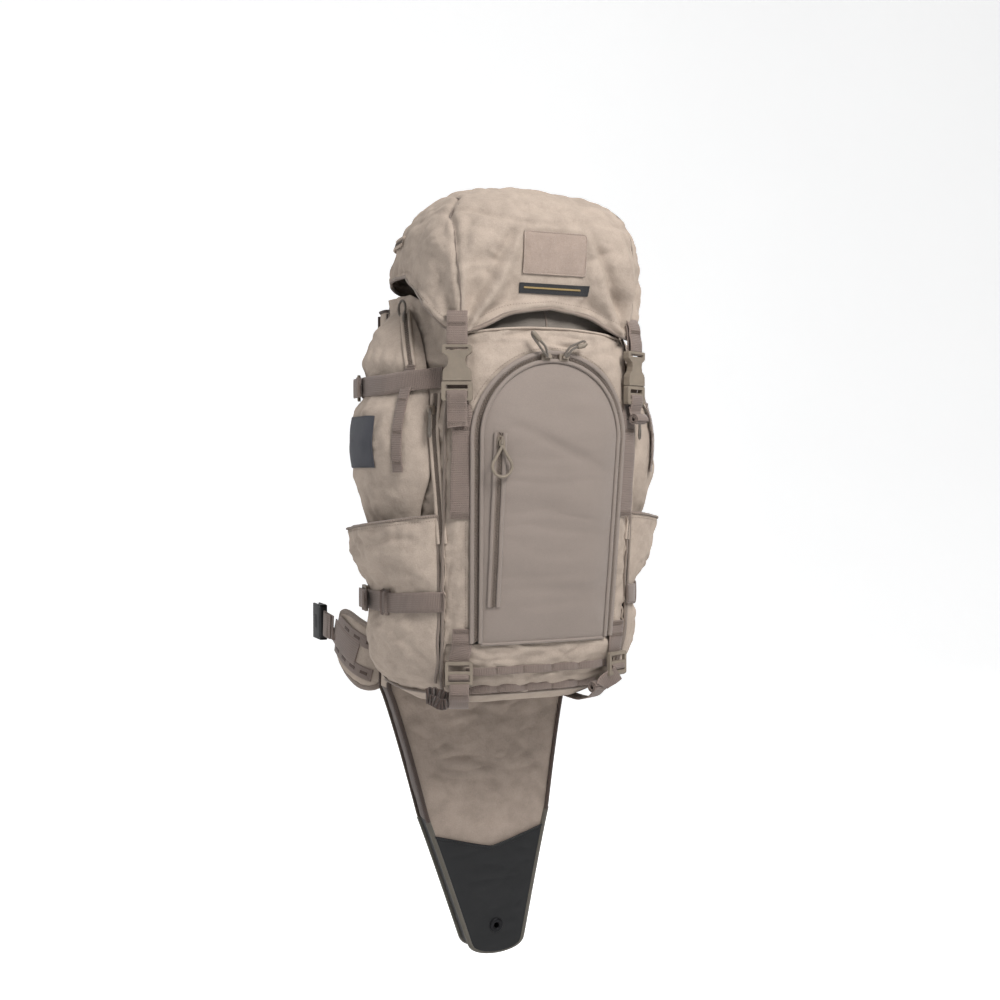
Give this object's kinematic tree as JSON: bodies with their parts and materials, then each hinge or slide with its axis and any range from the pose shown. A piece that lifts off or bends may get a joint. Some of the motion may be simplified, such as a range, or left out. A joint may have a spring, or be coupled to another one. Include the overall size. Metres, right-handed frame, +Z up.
{
  "type": "hunting backpack",
  "caption": "Tall framed hunting backpack with a domed lid, arch zip front, side pockets, hip belt and a drop-down tapered scabbard with a black boot.",
  "frame": {"origin": "middle of the bag's base, in the plane of the frame sheet's rear face, at the underside of the base", "axes": "+Z up, -Y is the front away from the wearer, +Y the wearer's side, +X to the right seen from the front"},
  "size_m": [0.4274, 0.4653, 1.041],
  "materials": {
    "shell_fabric": "brushed suede-faced polyester, matt",
    "stretch_fabric": "smooth stretch woven, slight sheen",
    "lining_fabric": "thin ripstop nylon",
    "harness_fabric": "brushed polyester over foam",
    "webbing": "ribbed nylon webbing, 25 mm",
    "binding": "grosgrain binding",
    "boot_fabric": "black coated wear-resistant fabric",
    "rim_binding": "grey-green grosgrain binding",
    "moulded_plastic": "acetal, fine texture",
    "black_plastic": "acetal, fine texture",
    "zipper_metal": "painted die-cast zinc",
    "zipper_tape": "woven tape with coil",
    "loop_pile": "hook and loop pile",
    "label_fabric": "plain dark woven cloth",
    "grommet_metal": "black coated brass",
    "frame_plastic": "HDPE sheet",
    "stay_alloy": "bare alloy bar",
    "cord": "braided cord"
  },
  "bodies": {
    "pack": {"frame_sheet": "frame_plastic", "frame_stays": "stay_alloy", "back_pads": "harness_fabric", "lumbar_pad": "harness_fabric", "bag_back_panel": "lining_fabric", "bag_side_panels": "shell_fabric", "bag_front_panel": "shell_fabric", "bag_base_panel": "shell_fabric", "bag_collar": "lining_fabric", "collar_drawcord": "cord", "cord_lock": "moulded_plastic", "side_pockets": "shell_fabric", "bottle_pockets": "shell_fabric", "scabbard_sleeve": "shell_fabric", "gear_loop_webbing": "webbing", "side_patch": "label_fabric", "front_webbing": "webbing", "bottom_strap_webbing": "webbing", "compression_webbing": "webbing", "compression_adjusters": "moulded_plastic", "arch_zipper_track": "zipper_tape", "side_zipper_tracks": "zipper_tape", "harness_webbing": "webbing"},
    "lid": {"lid_shell": "shell_fabric", "lid_floor": "lining_fabric", "lid_loop_patch": "loop_pile", "lid_label": "label_fabric", "lid_webbing": "webbing", "lid_zipper_track": "zipper_tape", "lid_buckle_female": "moulded_plastic"},
    "lid_zip_slider": {"lid_zip_slider": "zipper_metal"},
    "cord_lock_button": {"cord_lock_button": "moulded_plastic"},
    "front_door": {"door_panel": "stretch_fabric", "pocket_zipper_track": "zipper_tape"},
    "pocket_zip_slider": {"pocket_zip_slider": "zipper_metal"},
    "pocket_zip_pull": {"pocket_zip_pull": "zipper_metal"},
    "arch_zip_left": {"arch_zip_slider_left": "zipper_metal"},
    "arch_zip_right": {"arch_zip_slider_right": "zipper_metal"},
    "side_zip_left": {"side_zip_slider_left": "zipper_metal"},
    "side_zip_right": {"side_zip_slider_right": "zipper_metal"},
    "scabbard_lower": {"scabbard_lower_panels": "shell_fabric", "scabbard_lower_gussets": "binding"},
    "scabbard_tip": {"scabbard_boot": "boot_fabric", "scabbard_boot_rim": "rim_binding", "tip_grommet": "grommet_metal"},
    "haul_handle": {"haul_handle": "webbing"},
    "shoulder_left": {"shoulder_pad_left": "harness_fabric"},
    "sternum_left": {"sternum_half_left": "moulded_plastic"},
    "shoulder_adjuster_left": {"shoulder_adjuster_left": "moulded_plastic"},
    "hip_wing_left": {"hip_wing_left": "harness_fabric"},
    "hip_buckle_left": {"hip_buckle_left": "black_plastic"},
    "bottom_adjuster_left": {"bottom_adjuster_left": "moulded_plastic"},
    "lid_buckle_left": {"lid_buckle_male_left": "moulded_plastic"},
    "shoulder_right": {"shoulder_pad_right": "harness_fabric"},
    "sternum_right": {"sternum_half_right": "moulded_plastic"},
    "shoulder_adjuster_right": {"shoulder_adjuster_right": "moulded_plastic"},
    "hip_wing_right": {"hip_wing_right": "harness_fabric"},
    "hip_buckle_right": {"hip_buckle_right": "black_plastic"},
    "bottom_adjuster_right": {"bottom_adjuster_right": "moulded_plastic"},
    "lid_buckle_right": {"lid_buckle_male_right": "moulded_plastic"}
  },
  "joints": [
    {"name": "lid_hinge", "type": "hinge", "parent": "pack", "child": "lid", "pos_m": [0, -0.046, 0.528], "axis": [-1, 0, 0], "range_deg": [0, 90]},
    {"name": "lid_zip_slide", "type": "slide", "parent": "lid", "child": "lid_zip_slider", "axis": [-1, 0, 0], "range_m": [0, 0.13]},
    {"name": "front_door_hinge", "type": "hinge", "parent": "pack", "child": "front_door", "pos_m": [0, -0.2506, 0.081], "axis": [1, 0, 0], "range_deg": [0, 100]},
    {"name": "pocket_zip_slide", "type": "slide", "parent": "front_door", "child": "pocket_zip_slider", "axis": [0, 0.0978, -0.9952], "range_m": [0, 0.18]},
    {"name": "pocket_zip_pull_hinge", "type": "hinge", "parent": "pocket_zip_slider", "child": "pocket_zip_pull", "pos_m": [-0.073, -0.28252, 0.3306], "axis": [-1, 0, 0], "range_deg": [0, 120]},
    {"name": "arch_zip_left_travel", "type": "hinge", "parent": "pack", "child": "arch_zip_left", "pos_m": [0, -0.27762, 0.335], "axis": [-0.04, -0.9992, 0], "range_deg": [0, 75]},
    {"name": "arch_zip_right_travel", "type": "hinge", "parent": "pack", "child": "arch_zip_right", "pos_m": [0, -0.27762, 0.335], "axis": [-0.04, 0.9992, 0], "range_deg": [0, 75]},
    {"name": "side_zip_left_slide", "type": "slide", "parent": "pack", "child": "side_zip_left", "axis": [0.0236, -0.045, -0.9987], "range_m": [0, 0.10614]},
    {"name": "side_zip_right_slide", "type": "slide", "parent": "pack", "child": "side_zip_right", "axis": [-0.0236, -0.045, -0.9987], "range_m": [0, 0.10614]},
    {"name": "scabbard_fold", "type": "hinge", "parent": "pack", "child": "scabbard_lower", "pos_m": [0, -0.0444, -0.0025], "axis": [-1, 0, 0], "range_deg": [0, 80]},
    {"name": "scabbard_tip_fold", "type": "hinge", "parent": "scabbard_lower", "child": "scabbard_tip", "pos_m": [0, -0.0066, -0.186], "axis": [1, 0, 0], "range_deg": [0, 165]},
    {"name": "shoulder_left_swing", "type": "hinge", "parent": "pack", "child": "shoulder_left", "pos_m": [-0.066, 0.0055, 0.452], "axis": [1, 0, 0], "range_deg": [0, 30], "deforming": ["harness_webbing"]},
    {"name": "sternum_left_slide", "type": "slide", "parent": "shoulder_left", "child": "sternum_left", "axis": [0, 0, 1], "range_m": [-0.03, 0.03]},
    {"name": "shoulder_adjuster_left_tilt", "type": "hinge", "parent": "shoulder_left", "child": "shoulder_adjuster_left", "pos_m": [-0.0982, 0.0682, 0.1955], "axis": [0.9903, 0.139, 0], "range_deg": [0, 25]},
    {"name": "hip_wing_left_swing", "type": "hinge", "parent": "pack", "child": "hip_wing_left", "pos_m": [-0.117, 0.01, 0.024], "axis": [0, 0, 1], "range_deg": [-25, 45]},
    {"name": "hip_buckle_left_swing", "type": "hinge", "parent": "hip_wing_left", "child": "hip_buckle_left", "pos_m": [-0.168, 0.106, 0.066], "axis": [0, 0, 1], "range_deg": [-15, 15]},
    {"name": "bottom_adjuster_left_tilt", "type": "hinge", "parent": "pack", "child": "bottom_adjuster_left", "pos_m": [-0.11035, -0.23696, 0.056], "axis": [-0.9272, 0.3746, 0], "range_deg": [0, 30]},
    {"name": "lid_buckle_left_release", "type": "slide", "parent": "lid", "child": "lid_buckle_left", "axis": [0, 0, -1], "range_m": [0, 0.027]},
    {"name": "shoulder_right_swing", "type": "hinge", "parent": "pack", "child": "shoulder_right", "pos_m": [0.066, 0.0055, 0.452], "axis": [1, 0, 0], "range_deg": [0, 30], "deforming": ["harness_webbing"]},
    {"name": "sternum_right_slide", "type": "slide", "parent": "shoulder_right", "child": "sternum_right", "axis": [0, 0, 1], "range_m": [-0.03, 0.03]},
    {"name": "shoulder_adjuster_right_tilt", "type": "hinge", "parent": "shoulder_right", "child": "shoulder_adjuster_right", "pos_m": [0.0982, 0.0682, 0.1955], "axis": [0.9903, -0.139, 0], "range_deg": [0, 25]},
    {"name": "hip_wing_right_swing", "type": "hinge", "parent": "pack", "child": "hip_wing_right", "pos_m": [0.117, 0.01, 0.024], "axis": [0, 0, -1], "range_deg": [-25, 45]},
    {"name": "hip_buckle_right_swing", "type": "hinge", "parent": "hip_wing_right", "child": "hip_buckle_right", "pos_m": [0.168, 0.106, 0.066], "axis": [0, 0, -1], "range_deg": [-15, 15]},
    {"name": "bottom_adjuster_right_tilt", "type": "hinge", "parent": "pack", "child": "bottom_adjuster_right", "pos_m": [0.11035, -0.23696, 0.056], "axis": [-0.9272, -0.3746, 0], "range_deg": [0, 30]},
    {"name": "lid_buckle_right_release", "type": "slide", "parent": "lid", "child": "lid_buckle_right", "axis": [0, 0, -1], "range_m": [0, 0.027]},
    {"name": "haul_handle_swing", "type": "hinge", "parent": "pack", "child": "haul_handle", "pos_m": [0, 0.0034, 0.499], "axis": [-1, 0, 0], "range_deg": [-150, 0]},
    {"name": "cord_lock_press", "type": "slide", "parent": "pack", "child": "cord_lock_button", "axis": [0, 0, -1], "range_m": [0, 0.0035], "stiffness_N_per_m": 400, "springref_m": -0.002}
  ]
}
